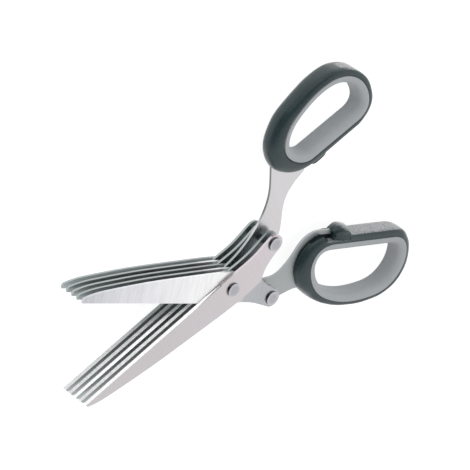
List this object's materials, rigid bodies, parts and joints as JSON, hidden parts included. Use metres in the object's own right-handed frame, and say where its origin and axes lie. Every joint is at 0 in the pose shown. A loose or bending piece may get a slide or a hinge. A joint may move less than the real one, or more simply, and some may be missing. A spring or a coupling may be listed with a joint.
{
  "type": "herb scissors",
  "caption": "Herb scissors: a fan of blade pairs on one pivot, two soft-lined ring handles of different size and a sliding latch that holds them shut.",
  "frame": {"origin": "on the pivot axis, at the underside of the pivot rivet's back head", "axes": "+Z along the pivot axis towards the front blade, +X from the pivot towards the handles along the line that halves the open jaw, blade tips towards -X"},
  "size_m": [0.1899, 0.1302, 0.0189],
  "materials": {
    "blade_steel": "brushed across the blade",
    "rivet_steel": "satin",
    "shell_plastic": "finely textured, satin",
    "liner_rubber": "smooth, matte",
    "latch_plastic": "smooth, satin"
  },
  "bodies": {
    "thumb_member": {"thumb_blade_1": "blade_steel", "thumb_blade_2": "blade_steel", "thumb_arm_blade": "blade_steel", "thumb_blade_4": "blade_steel", "thumb_blade_5": "blade_steel", "thumb_sleeve_1": "rivet_steel", "thumb_sleeve_2": "rivet_steel", "thumb_sleeve_3": "rivet_steel", "thumb_sleeve_4": "rivet_steel", "thumb_tail_rivet": "rivet_steel", "pivot_rivet": "rivet_steel", "pivot_washer_1": "rivet_steel", "pivot_washer_2": "rivet_steel", "pivot_washer_3": "rivet_steel", "pivot_washer_4": "rivet_steel", "thumb_ring_shell": "shell_plastic", "thumb_ring_liner": "liner_rubber", "thumb_stop_pad": "latch_plastic", "thumb_catch_hook": "latch_plastic"},
    "finger_member": {"finger_blade_1": "blade_steel", "finger_blade_2": "blade_steel", "finger_arm_blade": "blade_steel", "finger_blade_4": "blade_steel", "finger_blade_5": "blade_steel", "finger_sleeve_1": "rivet_steel", "finger_sleeve_2": "rivet_steel", "finger_sleeve_3": "rivet_steel", "finger_sleeve_4": "rivet_steel", "finger_tail_rivet": "rivet_steel", "finger_ring_shell": "shell_plastic", "finger_ring_liner": "liner_rubber"},
    "latch": {"latch_slider": "latch_plastic", "latch_pin": "rivet_steel"}
  },
  "joints": [
    {"name": "pivot", "type": "hinge", "parent": "thumb_member", "child": "finger_member", "pos_m": [0, 0, 0.01], "axis": [0, 0, -1], "range_deg": [-37.2, 25]},
    {"name": "latch_slide", "type": "slide", "parent": "finger_member", "child": "latch", "axis": [-0.9607, 0.2777, 0], "range_m": [0, 0.006]}
  ]
}
